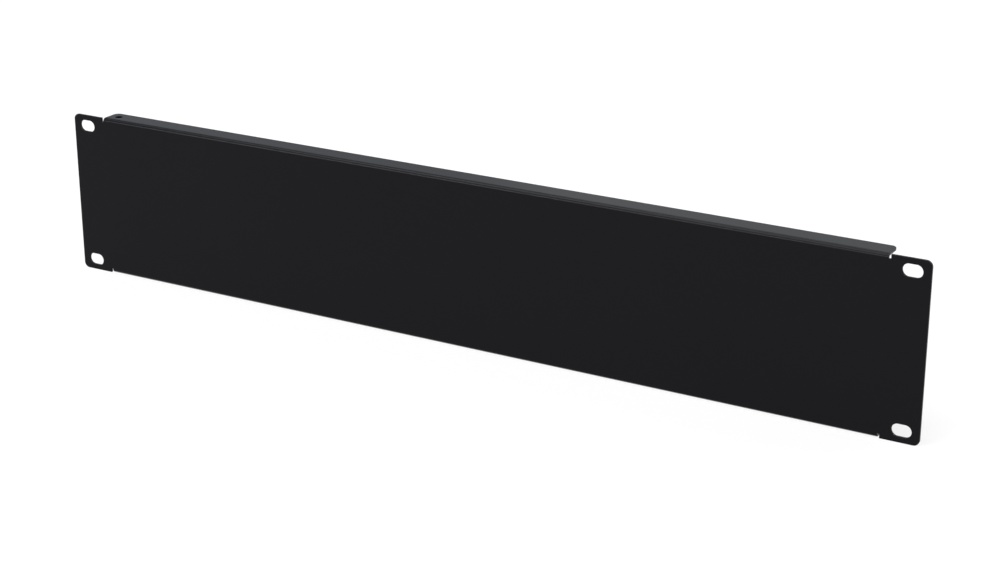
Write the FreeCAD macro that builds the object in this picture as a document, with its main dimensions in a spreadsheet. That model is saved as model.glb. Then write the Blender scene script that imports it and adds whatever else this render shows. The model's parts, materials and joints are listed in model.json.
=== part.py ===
import FreeCAD, Part
import math
import os
import Sketcher

# Rack blanking panel: a two-unit, 19-inch rack filler folded from one steel sheet.  A flat face
# with two slotted ears, and a flange folded back along the top and the bottom edge.
#
# Frame: +X along the width, +Z up, front facing -Y.  The origin is the middle of the four
# mounting slots, on the back of the ears, the plane that bears on the rack's rails.  The front
# face lies one sheet thickness in front of it, at y = -sheetThickness.

drivingDimensions = [
    ("panelWidth", 482.6, "overall width, the 19-inch rack size"),
    ("rackUnits", 2, "rack units covered"),
    ("rackUnitHeight", 44.45, "height of one rack unit"),
    ("heightAllowance", 0.9, "height left free between neighbouring panels"),
    ("sheetThickness", 1.2, "steel sheet"),
    ("bendInsideRadius", 0.8, "inside radius of both folds"),
    ("flangeDepth", 12, "front face to the free edge of a flange"),
    ("earWidth", 20, "panel side to the end of the flanges"),
    ("reliefWidth", 1.1, "notch that ends each fold, along the width"),
    ("reliefOverrun", 0.2, "how far that notch passes the start of the fold"),
    ("earCornerRadius", 3, "outer corners of the ears"),
    ("flangeCornerRadius", 3, "free corners of the flanges"),
    ("slotToEnd", 8.75, "slot centre to the end of its ear, so 465.1 mm from left to right"),
    ("slotToUnitEdge", 6.35, "slot centre to the edge of its rack unit"),
    ("slotLength", 9.6, "slot, end to end along the width"),
    ("slotWidth", 6.2, "slot, across"),
    ("hangHoleDiameter", 4, "hole that hangs the panel by its upper flange for coating"),
    ("hangHoleFromEnd", 6, "its centre to the flange end"),
    ("hangHoleFromFront", 6, "its centre to the front face"),
]

# What follows from them, as expressions on the sheet.
halfWidth = "Sizes.panelWidth / 2"
halfHeight = "(Sizes.rackUnits * Sizes.rackUnitHeight - Sizes.heightAllowance) / 2"
halfFlange = "(Sizes.panelWidth / 2 - Sizes.earWidth)"
bendOutsideRadius = "(Sizes.bendInsideRadius + Sizes.sheetThickness)"
foldStart = f"({halfHeight} - {bendOutsideRadius})"
aboveEdge = f"{halfHeight} + {bendOutsideRadius}"
slotAcross = "(Sizes.panelWidth / 2 - Sizes.slotToEnd)"
slotUp = "(Sizes.rackUnits * Sizes.rackUnitHeight / 2 - Sizes.slotToUnitEdge)"
slotStraight = "(Sizes.slotLength - Sizes.slotWidth) / 2"

# The sketcher's numbers for the sketch origin and for the points of a line or an arc.
origin = (-1, 1)
firstEnd, lastEnd, centre = 1, 2, 3

placeTolerance = 1e-5

document = FreeCAD.newDocument("RackBlankingPanel")
sheet = document.addObject("Spreadsheet::Sheet", "Sizes")
for row, (alias, value, meaning) in enumerate(drivingDimensions, start=1):
    sheet.set(f"A{row}", alias)
    sheet.set(f"B{row}", str(value))
    sheet.set(f"C{row}", meaning)
    sheet.setAlias(f"B{row}", alias)
document.recompute()


# ---- helpers

def size(expression):
    """The value, in mm, of an expression on the sheet."""
    return float(sheet.evalExpression(expression.replace("Sizes.", "")))


def newSketch(body, planeRole, name):
    plane = next(item for item in body.Origin.OriginFeatures if item.Role == planeRole)
    sketch = body.newObject("Sketcher::SketchObject", name)
    sketch.AttachmentSupport = [(plane, "")]
    sketch.MapMode = "FlatFace"
    return sketch


def addLine(sketch, start, end):
    return sketch.addGeometry(Part.LineSegment(FreeCAD.Vector(*start), FreeCAD.Vector(*end)))


def addArc(sketch, middle, radius, startDegrees, endDegrees):
    circle = Part.Circle(FreeCAD.Vector(*middle), FreeCAD.Vector(0, 0, 1), radius)
    return sketch.addGeometry(
        Part.ArcOfCircle(circle, math.radians(startDegrees), math.radians(endDegrees)))


def constrain(sketch, kind, *elements):
    return sketch.addConstraint(Sketcher.Constraint(kind, *elements))


def dimension(sketch, name, expression, kind, *elements):
    """A named sketch dimension that follows the sheet."""
    number = constrain(sketch, kind, *elements, size(expression))
    sketch.renameConstraint(number, name)
    sketch.setExpression("Constraints." + name, expression)


def place(sketch, name, expression, kind, *point):
    """Ties one coordinate of a sketch point, DistanceX or DistanceY, to an expression."""
    if size(expression) < 0:
        dimension(sketch, name, f"-({expression})", kind, *point, *origin)
    else:
        dimension(sketch, name, expression, kind, *origin, *point)


def addRectangle(sketch, left, bottom, right, top):
    """A rectangle whose four sides lie where the four expressions say."""
    x0, y0, x1, y1 = (size(side) for side in (left, bottom, right, top))
    corners = [(x0, y0), (x1, y0), (x1, y1), (x0, y1)]
    lines = [addLine(sketch, corners[k], corners[(k + 1) % 4]) for k in range(4)]
    for k, line in enumerate(lines):
        constrain(sketch, "Coincident", line, lastEnd, lines[(k + 1) % 4], firstEnd)
        constrain(sketch, "Vertical" if k % 2 else "Horizontal", line)
    place(sketch, "left", left, "DistanceX", lines[0], firstEnd)
    place(sketch, "bottom", bottom, "DistanceY", lines[0], firstEnd)
    place(sketch, "right", right, "DistanceX", lines[2], firstEnd)
    place(sketch, "top", top, "DistanceY", lines[2], firstEnd)


def solved(sketch):
    """The sketch, once nothing in it is left loose or in conflict."""
    document.recompute()
    if sketch.solve() != 0 or not sketch.FullyConstrained:
        raise RuntimeError(sketch.Name + " isn't fully constrained")
    return sketch


def cutThrough(body, name, sketch, side):
    """A pocket through all that lies on one side of its sketch, or on both."""
    volumeBefore = body.Shape.Volume
    pocket = body.newObject("PartDesign::Pocket", name)
    pocket.Profile = solved(sketch)
    pocket.Type = "ThroughAll"
    pocket.SideType = "Symmetric" if side == "both" else "One side"
    pocket.Reversed = side == "front"
    document.recompute()
    if body.Shape.Volume >= volumeBefore:
        raise RuntimeError(name + " cuts nothing")
    return pocket


def mirror(body, name, feature, *planeRoles):
    """Repeats a feature across each of the named origin planes in turn."""
    planes = {item.Role: item for item in body.Origin.OriginFeatures}
    mirrors = []
    for role in planeRoles:
        step = body.newObject("PartDesign::Mirrored", f"{name}{role[:2]}")
        step.MirrorPlane = (planes[role], [""])
        mirrors.append(step)
    if len(mirrors) == 1:
        result = mirrors[0]
        result.Originals = [feature]
    else:
        result = body.newObject("PartDesign::MultiTransform", name)
        result.Originals = [feature]
        result.Transformations = mirrors
    body.Tip = result
    document.recompute()


def roundCorners(body, name, radius, direction, corners):
    """Fillets the straight edges that run in a direction through the given corner points."""
    base = body.Tip
    edges = []
    for number, edge in enumerate(base.Shape.Edges, start=1):
        straight = edge.Curve.TypeId == "Part::GeomLine"
        if not straight or edge.Curve.Direction.cross(direction).Length > placeTolerance:
            continue
        start = edge.Vertexes[0].Point
        if any((start - corner).cross(direction).Length < placeTolerance for corner in corners):
            edges.append(f"Edge{number}")
    fillet = body.newObject("PartDesign::Fillet", name)
    fillet.Base = (base, edges)
    fillet.setExpression("Radius", radius)
    body.Tip = fillet
    document.recompute()


# ---- the folded sheet, feature by feature

def facePlate(body):
    """The flat blank seen from the front, ears and all, before anything is folded or cut."""
    sketch = newSketch(body, "XZ_Plane", "faceOutline")
    addRectangle(sketch, f"-{halfWidth}", f"-{halfHeight}", halfWidth, halfHeight)
    plate = body.newObject("PartDesign::Pad", "facePlate")
    plate.Profile = solved(sketch)
    plate.setExpression("Length", "Sizes.sheetThickness")
    document.recompute()


def foldStrips(body):
    """Between the ears the flat face ends where the folds start, at the top and the bottom."""
    sketch = newSketch(body, "XZ_Plane", "foldStripOutline")
    addRectangle(sketch, f"-{halfFlange}", foldStart, halfFlange, aboveEdge)
    strip = cutThrough(body, "foldStrip", sketch, "both")
    mirror(body, "foldStrips", strip, "XY_Plane")


def flanges(body):
    """The folds and flanges: a bent section run along the panel, and its mirror image below."""
    inside, outside = size("Sizes.bendInsideRadius"), size(bendOutsideRadius)
    top, rear = size(halfHeight), size("Sizes.flangeDepth - Sizes.sheetThickness")
    thickness, start = size("Sizes.sheetThickness"), size(foldStart)

    sketch = newSketch(body, "YZ_Plane", "flangeSection")
    innerBend = addArc(sketch, (inside, start), inside, 90, 180)
    outerBend = addArc(sketch, (inside, start), outside, 90, 180)
    upperFace = addLine(sketch, (inside, top), (rear, top))
    freeEdge = addLine(sketch, (rear, top), (rear, top - thickness))
    lowerFace = addLine(sketch, (rear, top - thickness), (inside, top - thickness))
    foldLine = addLine(sketch, (0, start), (-thickness, start))

    constrain(sketch, "Tangent", outerBend, firstEnd, upperFace, firstEnd)
    constrain(sketch, "Tangent", innerBend, firstEnd, lowerFace, lastEnd)
    constrain(sketch, "Coincident", upperFace, lastEnd, freeEdge, firstEnd)
    constrain(sketch, "Coincident", freeEdge, lastEnd, lowerFace, firstEnd)
    constrain(sketch, "Coincident", foldLine, firstEnd, innerBend, lastEnd)
    constrain(sketch, "Coincident", foldLine, lastEnd, outerBend, lastEnd)
    constrain(sketch, "Coincident", innerBend, centre, outerBend, centre)
    for line in (upperFace, lowerFace, foldLine):
        constrain(sketch, "Horizontal", line)
    constrain(sketch, "Vertical", freeEdge)
    constrain(sketch, "Horizontal", innerBend, centre, foldLine, firstEnd)
    constrain(sketch, "Vertical", foldLine, firstEnd, *origin)
    dimension(sketch, "insideRadius", "Sizes.bendInsideRadius", "Radius", innerBend)
    dimension(sketch, "thickness", "Sizes.sheetThickness", "DistanceY",
              lowerFace, firstEnd, freeEdge, firstEnd)
    dimension(sketch, "depth", "Sizes.flangeDepth", "DistanceX", foldLine, lastEnd, freeEdge, firstEnd)
    place(sketch, "height", halfHeight, "DistanceY", upperFace, firstEnd)

    flange = body.newObject("PartDesign::Pad", "upperFlange")
    flange.Profile = solved(sketch)
    flange.SideType = "Symmetric"
    flange.setExpression("Length", f"2 * {halfFlange}")
    document.recompute()
    mirror(body, "lowerFlange", flange, "XY_Plane")


def reliefs(body):
    """A notch between each end of a fold and the ear beside it, so that the sheet can bend."""
    sketch = newSketch(body, "XZ_Plane", "reliefOutline")
    addRectangle(sketch, halfFlange, f"{foldStart} - Sizes.reliefOverrun",
                 f"{halfFlange} + Sizes.reliefWidth", aboveEdge)
    relief = cutThrough(body, "relief", sketch, "both")
    mirror(body, "reliefs", relief, "YZ_Plane", "XY_Plane")


def mountingSlots(body):
    """Four screw slots, one in each corner of the rack's hole pattern."""
    across, up = size(slotAcross), size(slotUp)
    straight, radius = size(slotStraight), size("Sizes.slotWidth / 2")

    sketch = newSketch(body, "XZ_Plane", "slotOutline")
    lowerSide = addLine(sketch, (across - straight, up - radius), (across + straight, up - radius))
    outerEnd = addArc(sketch, (across + straight, up), radius, -90, 90)
    upperSide = addLine(sketch, (across + straight, up + radius), (across - straight, up + radius))
    innerEnd = addArc(sketch, (across - straight, up), radius, 90, 270)

    chain = [lowerSide, outerEnd, upperSide, innerEnd]
    for k, element in enumerate(chain):
        constrain(sketch, "Tangent", element, lastEnd, chain[(k + 1) % 4], firstEnd)
    constrain(sketch, "Equal", outerEnd, innerEnd)
    constrain(sketch, "Horizontal", lowerSide)
    dimension(sketch, "endRadius", "Sizes.slotWidth / 2", "Radius", outerEnd)
    place(sketch, "outerCentre", f"{slotAcross} + {slotStraight}", "DistanceX", outerEnd, centre)
    place(sketch, "innerCentre", f"{slotAcross} - {slotStraight}", "DistanceX", innerEnd, centre)
    place(sketch, "height", slotUp, "DistanceY", outerEnd, centre)

    slot = cutThrough(body, "mountingSlot", sketch, "both")
    mirror(body, "mountingSlots", slot, "YZ_Plane", "XY_Plane")


def hangHole(body):
    """One small round hole near the left end of the upper flange."""
    across = f"Sizes.hangHoleFromEnd - {halfFlange}"
    behind = "Sizes.hangHoleFromFront - Sizes.sheetThickness"
    radius = "Sizes.hangHoleDiameter / 2"

    sketch = newSketch(body, "XY_Plane", "hangHoleOutline")
    rim = sketch.addGeometry(Part.Circle(
        FreeCAD.Vector(size(across), size(behind)), FreeCAD.Vector(0, 0, 1), size(radius)))
    dimension(sketch, "radius", radius, "Radius", rim)
    place(sketch, "across", across, "DistanceX", rim, centre)
    place(sketch, "behind", behind, "DistanceY", rim, centre)
    cutThrough(body, "hangHole", sketch, "front")


def roundedCorners(body):
    """The free corners of the ears and of both flanges."""
    x, z = size(halfWidth), size(halfHeight)
    roundCorners(body, "earCorners", "Sizes.earCornerRadius", FreeCAD.Vector(0, 1, 0),
                 [FreeCAD.Vector(sx * x, 0, sz * z) for sx in (-1, 1) for sz in (-1, 1)])
    x, y = size(halfFlange), size("Sizes.flangeDepth - Sizes.sheetThickness")
    roundCorners(body, "flangeCorners", "Sizes.flangeCornerRadius", FreeCAD.Vector(0, 0, 1),
                 [FreeCAD.Vector(sx * x, y, 0) for sx in (-1, 1)])


def blankingPanel():
    body = document.addObject("PartDesign::Body", "BlankingPanel")
    body.Label = "blanking_panel"
    document.recompute()
    for feature in (facePlate, foldStrips, flanges, reliefs, mountingSlots, roundedCorners, hangHole):
        feature(body)
    return body


# ---- build, check and write

bodies = [blankingPanel()]

for item in document.Objects:
    if "Invalid" in item.State or "Error" in item.State:
        raise RuntimeError(f"{item.Name} failed: {item.State}")

os.makedirs("parts", exist_ok=True)
for body in bodies:
    shape = body.Shape
    if shape.isNull() or not shape.isValid() or len(shape.Solids) != 1:
        raise RuntimeError(body.Label + " isn't one sound solid")
    shape.exportStep(f"parts/{body.Label}.step")
    box = shape.BoundBox
    print(f"{body.Label}: {box.XLength:.2f} x {box.YLength:.2f} x {box.ZLength:.2f} mm, "
          f"{shape.Volume / 1000:.2f} cm3, {len(shape.Faces)} faces")
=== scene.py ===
import json
import math
import bmesh
import bpy
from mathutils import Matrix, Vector


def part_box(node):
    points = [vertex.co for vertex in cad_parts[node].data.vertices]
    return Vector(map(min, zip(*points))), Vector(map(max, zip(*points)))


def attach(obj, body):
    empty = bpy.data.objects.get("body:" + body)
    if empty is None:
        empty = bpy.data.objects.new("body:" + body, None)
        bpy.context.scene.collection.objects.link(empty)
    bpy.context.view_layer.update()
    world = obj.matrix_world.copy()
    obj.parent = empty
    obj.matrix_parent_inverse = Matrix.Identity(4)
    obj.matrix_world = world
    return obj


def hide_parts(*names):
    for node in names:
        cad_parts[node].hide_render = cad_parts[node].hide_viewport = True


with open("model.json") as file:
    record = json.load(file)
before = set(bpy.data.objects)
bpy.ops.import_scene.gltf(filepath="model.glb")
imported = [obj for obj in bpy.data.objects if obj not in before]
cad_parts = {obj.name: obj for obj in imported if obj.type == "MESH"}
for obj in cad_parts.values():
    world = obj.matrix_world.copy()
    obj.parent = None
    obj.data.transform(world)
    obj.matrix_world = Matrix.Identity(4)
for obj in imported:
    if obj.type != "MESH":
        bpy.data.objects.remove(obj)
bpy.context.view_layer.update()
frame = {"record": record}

mm = 0.001
touching = 1e-6  # places closer than this, in metres, are the same place
white, black = (1, 1, 1, 1), (0, 0, 0, 1)
print("frame loaded")


class Wire:  # one output socket, so that shader maths reads as Python
    def __init__(self, tree, socket=None):
        self.tree = tree
        self.socket = socket

    def node(self, kind, settings, inputs, output=0):
        made = self.tree.nodes.new("ShaderNode" + kind)
        for name, value in settings.items():
            setattr(made, name, value)
        for name, value in inputs.items():
            if isinstance(value, Wire):
                self.tree.links.new(value.socket, made.inputs[name])
            else:
                made.inputs[name].default_value = value
        return Wire(self.tree, made.outputs[output] if made.outputs else None)

    def maths(self, operation, first, second):
        return self.node("Math", {"operation": operation}, {0: first, 1: second})

    def __add__(self, other):
        return self.maths("ADD", self, other)

    def __radd__(self, other):
        return self.maths("ADD", other, self)

    def __sub__(self, other):
        return self.maths("SUBTRACT", self, other)

    def __rsub__(self, other):
        return self.maths("SUBTRACT", other, self)

    def __mul__(self, other):
        return self.maths("MULTIPLY", self, other)

    def __rmul__(self, other):
        return self.maths("MULTIPLY", other, self)


def emptyTree(owner):
    owner.use_nodes = True
    owner.node_tree.nodes.clear()
    return Wire(owner.node_tree)


def mixed(factor, first, second):
    # inputs 0, 6 and 7 of a colour Mix are its factor and its two colours, and output 2 its result
    return factor.node("Mix", {"data_type": "RGBA"}, {0: factor, 6: first, 7: second}, 2)


powderCoat = {
    "darkTone": (0.0053, 0.0053, 0.0067, 1),
    "lightTone": (0.0065, 0.0065, 0.0081, 1),
    "patchShare": 0.6,  # of the tone's change; the rest is the grain's
    "specular": 0.08,
    "roughness": 0.24,
    "roughnessSpread": 0.04,
    "patchSize": 60 * mm,  # slow drift of tone and gloss
    "peelSize": 2.2 * mm,  # orange peel
    "peelDepth": 0.006 * mm,
    "grainSize": 0.35 * mm,  # fine grain of the powder
    "grainDepth": 0.004 * mm,
}


def powderCoatMaterial():
    coat = powderCoat
    material = bpy.data.materials.new("powderCoat")
    tree = emptyTree(material)
    place = tree.node("TexCoord", {}, {}, "Object")

    def noise(size, detail):
        inputs = {"Vector": place, "Scale": 1 / size, "Detail": detail}
        return tree.node("TexNoise", {}, inputs, "Fac")

    patches = noise(coat["patchSize"], detail=2)
    peel = noise(coat["peelSize"], detail=1)
    grain = noise(coat["grainSize"], detail=2)

    change = patches * coat["patchShare"] + grain * (1 - coat["patchShare"])
    tone = mixed(change, coat["darkTone"], coat["lightTone"])
    # noise lies about 0.5, so the roughness drifts both ways
    roughness = coat["roughness"] + (patches - 0.5) * coat["roughnessSpread"]
    height = peel * coat["peelDepth"] + grain * coat["grainDepth"]
    normal = tree.node("Bump", {}, {"Strength": 1, "Distance": 1, "Height": height})
    surface = tree.node("BsdfPrincipled", {}, {
        "Base Color": tone, "Roughness": roughness, "Specular IOR Level": coat["specular"],
        "Normal": normal})
    tree.node("OutputMaterial", {}, {"Surface": surface})
    return material


# In edit mode, selects the vertices, edges or faces whose middle lies where it's wanted.
def pick(kind, wanted):
    bpy.ops.mesh.select_mode(type=kind)
    bpy.ops.mesh.select_all(action="DESELECT")
    mesh = bmesh.from_edit_mesh(bpy.context.object.data)
    for element in {"VERT": mesh.verts, "EDGE": mesh.edges, "FACE": mesh.faces}[kind]:
        corners = [element.co] if kind == "VERT" else [vertex.co for vertex in element.verts]
        element.select_set(wanted(sum(corners, Vector()) / len(corners)))
    mesh.select_flush_mode()
    bmesh.update_edit_mesh(bpy.context.object.data)


def near(value, target):
    return abs(value - target) < touching


def cutAcross(wanted, point, normal):
    pick("FACE", wanted)
    bpy.ops.mesh.bisect(plane_co=point, plane_no=normal)


def roundOff(affect, radius, steps):
    bpy.ops.mesh.bevel(offset=radius, segments=steps, profile=0.5, affect=affect)  # 0.5 is an arc


def mergeDoubles(within):
    bpy.ops.mesh.select_all(action="SELECT")
    bpy.ops.mesh.remove_doubles(threshold=within)


def selectOnly(*pieces):
    bpy.ops.object.select_all(action="DESELECT")
    for piece in pieces:
        piece.select_set(True)
    if pieces:
        bpy.context.view_layer.objects.active = pieces[0]


def applyPlace():
    bpy.ops.object.transform_apply(location=True, rotation=True, scale=True)


def applyModifier(kind, **settings):
    piece = bpy.context.object
    bpy.ops.object.modifier_add(type=kind)
    modifier = piece.modifiers[-1]
    for name, value in settings.items():
        setattr(modifier, name, value)
    bpy.ops.object.modifier_apply(modifier=modifier.name)


sheetSizes = {
    "bendInside": 0.8 * mm,
    "bendSteps": 16,
    "earWidth": 20 * mm,
    "reliefWidth": 1.1 * mm,
    "reliefOverrun": 0.2 * mm,  # how far the notches run on past the bend
    "cornerRadius": 3 * mm,  # ears and flanges alike
    "cornerSteps": 14,
    "slotSteps": 20,
    "hangHole": 4 * mm,
    "hangHoleFromEnd": 6 * mm,
    "hangHoleFromFront": 6 * mm,
    "hangHoleSteps": 48,
    "edgeRound": 0.1 * mm,
    "edgeSteps": 3,
    "edgeFrom": 50,  # degrees; a sharper turn than this is an edge that gets rounded
    "smoothUpTo": 40,  # degrees; a gentler turn than this is shaded smooth
    "cutMerge": 0.005 * mm,  # closes up where a cutter's corner met a line on the sheet
}


def flatBlank(low, high, foldStart, flangeEnd, slotMiddle):
    reliefEnd = flangeEnd + sheetSizes["reliefWidth"]
    reliefFloor = foldStart - sheetSizes["reliefOverrun"]
    selectOnly()
    upright = (math.radians(90), 0, 0)
    bpy.ops.mesh.primitive_plane_add(size=1, location=(0, low.y, 0), rotation=upright)
    bpy.context.object.name = "foldedSheet"
    bpy.context.object.scale = (high.x - low.x, high.z - low.z, 1)
    applyPlace()

    bpy.ops.object.mode_set(mode="EDIT")
    for x in (flangeEnd, reliefEnd, slotMiddle.x):
        for side in (-1, 1):
            cutAcross(lambda co: True, (side * x, 0, 0), (1, 0, 0))
    for side in (-1, 1):
        cutAcross(lambda co: abs(co.x) < reliefEnd, (0, 0, side * reliefFloor), (0, 0, 1))
        cutAcross(lambda co: abs(co.x) < flangeEnd, (0, 0, side * foldStart), (0, 0, 1))
        cutAcross(lambda co: abs(co.x) > reliefEnd, (0, 0, side * slotMiddle.z), (0, 0, 1))
    # what the folds and the notches beside them take out of the flat sheet
    pick("FACE", lambda co: abs(co.x) < reliefEnd and abs(co.z) > foldStart
         or flangeEnd < abs(co.x) < reliefEnd and abs(co.z) > reliefFloor)
    bpy.ops.mesh.delete(type="FACE")


def foldFlanges(low, high, foldStart, bendOutside, holeMiddle):
    for side in (-1, 1):
        pick("EDGE", lambda co: near(co.z, side * foldStart))
        bpy.ops.mesh.spin(steps=sheetSizes["bendSteps"], angle=math.radians(90 * side),
                          center=(0, low.y + bendOutside, side * foldStart), axis=(1, 0, 0))
        pick("EDGE", lambda co: near(co.z, side * high.z) and near(co.y, low.y + bendOutside))
        bpy.ops.mesh.extrude_region_move(
            TRANSFORM_OT_translate={"value": (0, high.y - low.y - bendOutside, 0)})
    for normal in ((1, 0, 0), (0, 1, 0)):
        cutAcross(lambda co: near(co.z, high.z), holeMiddle, normal)


def roundCorners(high, flangeEnd):
    for wanted in (lambda co: near(abs(co.x), high.x) and near(abs(co.z), high.z),
                   lambda co: near(abs(co.x), flangeEnd) and near(co.y, high.y)):
        pick("VERT", wanted)
        roundOff("VERTICES", sheetSizes["cornerRadius"], sheetSizes["cornerSteps"])


def slotCutters(thickness, slots, middle):
    width, length = 2 * slots["hole_r_mm"] * mm, slots["slot_length_mm"] * mm
    selectOnly()
    bpy.ops.mesh.primitive_cube_add(size=1, location=(middle.x, -thickness / 2, middle.z))
    cutter = bpy.context.object
    cutter.scale = (length, 3 * thickness, width)  # well through the sheet on both sides
    applyPlace()
    bpy.ops.object.mode_set(mode="EDIT")
    pick("EDGE", lambda co: near(co.y, -thickness / 2))  # the four that run through the sheet
    roundOff("EDGES", width / 2, sheetSizes["slotSteps"])
    mergeDoubles(touching)
    bpy.ops.object.mode_set(mode="OBJECT")
    cutters = [cutter]
    for x, z in ((-1, 1), (-1, -1), (1, -1)):  # one for each of the other ear corners
        selectOnly(cutter)
        bpy.ops.object.duplicate()
        bpy.ops.transform.translate(value=((x - 1) * middle.x, 0, (z - 1) * middle.z))
        cutters.append(bpy.context.object)
    return cutters


def hangHoleCutter(thickness, middle):
    selectOnly()
    bpy.ops.mesh.primitive_cylinder_add(
        vertices=sheetSizes["hangHoleSteps"], radius=sheetSizes["hangHole"] / 2,
        depth=4 * thickness, location=middle)
    return bpy.context.object


def cutHoles(sheet, cutters):
    selectOnly(*cutters)
    bpy.ops.object.join()
    cutter = bpy.context.object
    applyPlace()
    selectOnly(sheet)
    applyModifier("BOOLEAN", operation="DIFFERENCE", solver="EXACT", object=cutter)
    bpy.data.objects.remove(cutter)
    bpy.ops.object.mode_set(mode="EDIT")
    mergeDoubles(sheetSizes["cutMerge"])
    bpy.ops.object.mode_set(mode="OBJECT")


def foldedSheet():
    low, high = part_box("blanking_panel")
    slots = next(m["dims"] for m in frame["record"]["mounts"] if m["name"] == "rack_slots")
    thickness = -low.y  # the ears' backs lie at y = 0
    bendOutside = sheetSizes["bendInside"] + thickness
    foldStart = high.z - bendOutside
    flangeEnd = high.x - sheetSizes["earWidth"]
    slotMiddle = Vector((slots["spacing_x_mm"], 0, slots["spacing_y_mm"])) * 0.5 * mm
    holeMiddle = Vector((sheetSizes["hangHoleFromEnd"] - flangeEnd,
                         low.y + sheetSizes["hangHoleFromFront"], high.z))

    flatBlank(low, high, foldStart, flangeEnd, slotMiddle)
    sheet = bpy.context.object
    foldFlanges(low, high, foldStart, bendOutside, holeMiddle)
    roundCorners(high, flangeEnd)
    mergeDoubles(touching)
    bpy.ops.mesh.normals_make_consistent(inside=False)
    bpy.ops.object.mode_set(mode="OBJECT")
    applyModifier("SOLIDIFY", thickness=thickness, offset=-1, use_even_offset=True)
    print("sheet folded")

    cutters = slotCutters(thickness, slots, slotMiddle)
    cutHoles(sheet, cutters + [hangHoleCutter(thickness, holeMiddle)])
    print("slots and hole cut")

    applyModifier("BEVEL", width=sheetSizes["edgeRound"], segments=sheetSizes["edgeSteps"],
                  limit_method="ANGLE", angle_limit=math.radians(sheetSizes["edgeFrom"]),
                  use_clamp_overlap=False)
    bpy.ops.object.shade_smooth_by_angle(angle=math.radians(sheetSizes["smoothUpTo"]))
    applyModifier("WEIGHTED_NORMAL", keep_sharp=True)
    sheet.data.materials.clear()
    sheet.data.materials.append(powderCoatMaterial())
    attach(sheet, "root")
    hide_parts("blanking_panel")
    print("edges rounded and coated")


stage = {
    "floorSize": 12,
    "floorColour": (0.2, 0.2, 0.2, 1),
    "floorLift": 0.75,  # brings the lit floor up to white where it's looked at
    "liftGrowsFrom": 0.6,  # metres out, where the lift begins to grow
    "liftGrowsTo": 2,  # metres out, where it alone is white
    "horizon": (0.945, 1, 1.045, 1),  # the white surroundings in the panel's gloss, which fade
    "ceiling": (0.52, 0.55, 0.575, 1),  # upwards from the one to the other
    "fadeTop": 0.25,  # sine of the height where the fade ends
}


def seenDirectly(tree):  # 1 for rays from the camera, off gloss and through glass, otherwise 0
    unseen = 1
    for ray in ("Is Camera Ray", "Is Glossy Ray", "Is Transmission Ray"):
        unseen = unseen * (1 - tree.node("LightPath", {}, {}, ray))
    return 1 - unseen


def whiteFloor():
    low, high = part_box("blanking_panel")
    selectOnly()
    bpy.ops.mesh.primitive_plane_add(size=stage["floorSize"], location=(0, 0, low.z))
    applyPlace()
    floor = bpy.context.object
    floor.name = "floor"
    material = bpy.data.materials.new("floorPaint")
    tree = emptyTree(material)
    place = tree.node("TexCoord", {}, {}, "Object")
    distance = tree.node("VectorMath", {"operation": "LENGTH"}, {0: place}, "Value")
    lift = tree.node("MapRange", {}, {
        "Value": distance, "From Min": stage["liftGrowsFrom"], "From Max": stage["liftGrowsTo"],
        "To Min": stage["floorLift"], "To Max": 1})
    surface = tree.node("BsdfPrincipled", {}, {
        "Base Color": stage["floorColour"], "Roughness": 1, "Specular IOR Level": 0,
        "Emission Color": mixed(seenDirectly(tree) * lift, black, white), "Emission Strength": 1})
    tree.node("OutputMaterial", {}, {"Surface": surface})
    floor.data.materials.append(material)


def whiteSurroundings():
    bpy.context.scene.world = bpy.data.worlds.new("surroundings")
    tree = emptyTree(bpy.context.scene.world)
    direction = tree.node("TexCoord", {}, {}, "Generated")
    height = tree.node("SeparateXYZ", {}, {"Vector": direction}, "Z")
    fade = tree.node("MapRange", {}, {"Value": height, "From Max": stage["fadeTop"]})
    fromCamera = tree.node("LightPath", {}, {}, "Is Camera Ray")
    seen = mixed(fromCamera, mixed(fade, stage["horizon"], stage["ceiling"]), white)
    light = tree.node("Background", {}, {"Color": mixed(seenDirectly(tree), black, seen)})
    tree.node("OutputWorld", {}, {"Surface": light})


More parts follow.
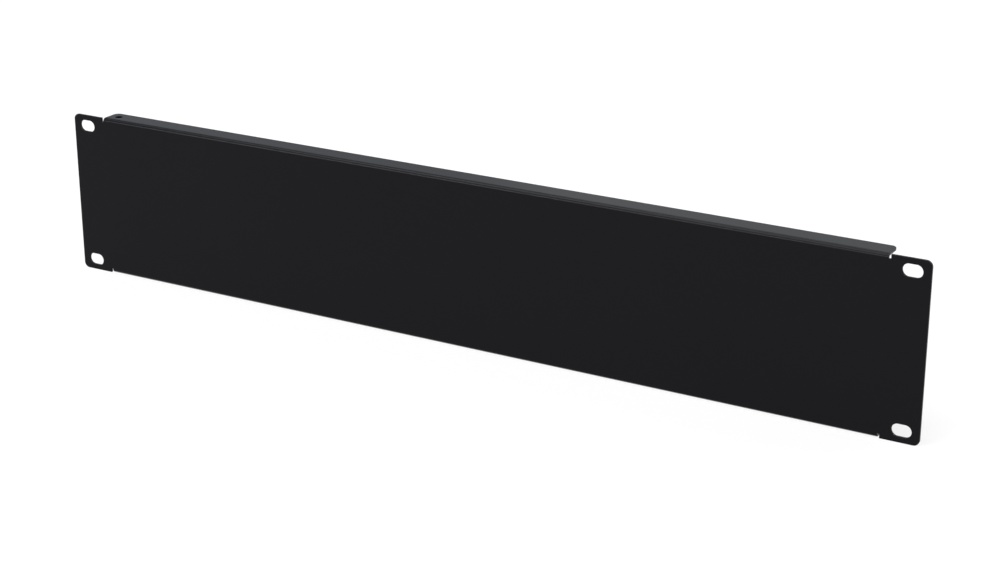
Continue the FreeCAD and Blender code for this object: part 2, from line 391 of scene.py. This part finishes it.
# A softbox's turn is in degrees from the panel's front to its left, and its height in degrees
# above the panel. It faces the panel from a distance in metres.
softboxes = {
    "frontLeft": {"turn": 28, "height": 17, "distance": 3.0, "size": (1.85, 0.4), "watts": 48},
    "highLeft": {"turn": 40, "height": 60, "distance": 2.0, "size": (2.2, 0.6), "watts": 14},
    "highFront": {"turn": 20, "height": 52, "distance": 2.0, "size": (2.0, 0.4), "watts": 8.5},
    "overhead": {"turn": 28, "height": 75, "distance": 2.0, "size": (2.4, 0.6), "watts": 26},
    "highRear": {"turn": 170, "height": 60, "distance": 2.2, "size": (1.6, 0.8), "watts": 13},
    "rear": {"turn": 172, "height": 20, "distance": 2.2, "size": (1.6, 0.6), "watts": 1.05},
    "rearRight": {"turn": -140, "height": 35, "distance": 2.2, "size": (1.4, 0.8), "watts": 24},
    "right": {"turn": -45, "height": 35, "distance": 1.5, "size": (1.0, 0.8), "watts": 7},
}


def hangSoftboxes():
    for name, box in softboxes.items():
        turn, height = math.radians(box["turn"]), math.radians(box["height"])
        outwards = Vector((-math.sin(turn) * math.cos(height),
                           -math.cos(turn) * math.cos(height), math.sin(height)))
        bpy.ops.object.light_add(type="AREA", location=box["distance"] * outwards)
        lamp = bpy.context.object
        lamp.name = name
        lamp.rotation_euler = (-outwards).to_track_quat("-Z", "Y").to_euler()
        lamp.data.shape = "RECTANGLE"
        lamp.data.size, lamp.data.size_y = box["size"]
        lamp.data.energy = box["watts"]
        lamp.visible_camera = False


camera = {
    "from": (0.5036, -0.8316, 0.3447),
    "towards": (0.0249, -0.0012, -0.0043),
    "lens": 75,  # millimetres, as is the sensor
    "sensor": 36,
}


def placeCamera():
    bpy.ops.object.camera_add(location=camera["from"])
    viewer = bpy.context.object
    line = Vector(camera["towards"]) - Vector(camera["from"])
    viewer.rotation_euler = line.to_track_quat("-Z", "Y").to_euler()
    viewer.data.lens = camera["lens"]
    viewer.data.sensor_width = camera["sensor"]
    bpy.context.scene.camera = viewer


placeCamera()
foldedSheet()
whiteFloor()
whiteSurroundings()
hangSoftboxes()
bpy.context.scene.view_settings.view_transform = "Standard"
print("stage, lights and camera set")
